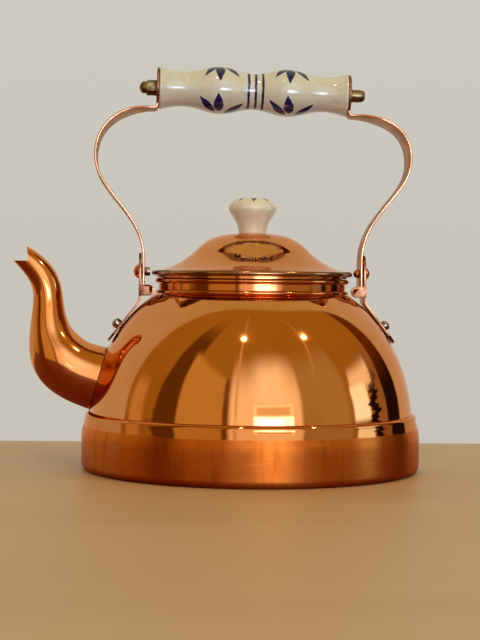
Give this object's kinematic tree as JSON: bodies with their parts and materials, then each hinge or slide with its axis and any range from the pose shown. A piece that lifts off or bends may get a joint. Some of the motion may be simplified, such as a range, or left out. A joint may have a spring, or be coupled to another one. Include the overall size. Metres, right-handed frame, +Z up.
{
  "type": "kettle",
  "caption": "Domed copper kettle on a straight-sided base, with curved spout, lift-off lid and swinging handle with glazed ceramic grip.",
  "frame": {"origin": "centre of the underside, on the surface that the kettle stands on", "axes": "+Z up; the spout points to -X; the handle's pivots lie along X; the handle folds down towards -Y"},
  "size_m": [0.2411, 0.2, 0.2386],
  "materials": {
    "copper": "mirror-polished copper sheet with light handling wear",
    "strap_copper": "satin copper strip, duller than the body, bright at the edges",
    "bronze": "darkened copper bead",
    "aged_brass": "aged brass, dark in the corners",
    "aged_steel": "dull grey-olive aged steel",
    "tin": "tinned, satin",
    "glazed_ceramic": "cream glaze with dark blue painted leaves and stripes"
  },
  "bodies": {
    "pot": {"base_band": "copper", "dome_shell": "copper", "neck_collar": "copper", "spout": "copper", "pivot_pin_left": "copper", "pivot_pin_right": "copper", "pivot_nut_right": "copper", "ear_left": "strap_copper", "ear_right": "strap_copper", "pivot_washer_left": "strap_copper", "pivot_washer_right": "strap_copper", "ear_screw_left": "aged_steel", "ear_screw_right": "aged_steel", "ear_nut_left": "aged_steel", "ear_nut_right": "aged_steel", "pivot_nut_left": "aged_steel", "bottom_plate": "tin", "ear_washer_left": "tin", "ear_washer_right": "tin"},
    "lid": {"lid_shell": "copper", "lid_rim": "bronze", "lid_skirt": "copper", "lid_knob": "glazed_ceramic", "knob_insert": "aged_brass", "knob_screw": "aged_brass", "knob_washer": "aged_brass"},
    "handle": {"handle_grip": "glazed_ceramic", "grip_rod": "aged_steel", "cap_nut_left": "aged_brass", "cap_nut_right": "aged_brass", "strap_left": "strap_copper", "strap_right": "strap_copper"}
  },
  "joints": [
    {"name": "lid_lift", "type": "slide", "parent": "pot", "child": "lid", "axis": [0, 0, 1], "range_m": [0, 0.045]},
    {"name": "handle_swing", "type": "hinge", "parent": "pot", "child": "handle", "pos_m": [0, 0, 0.1165], "axis": [1, 0, 0], "range_deg": [0, 80]}
  ]
}
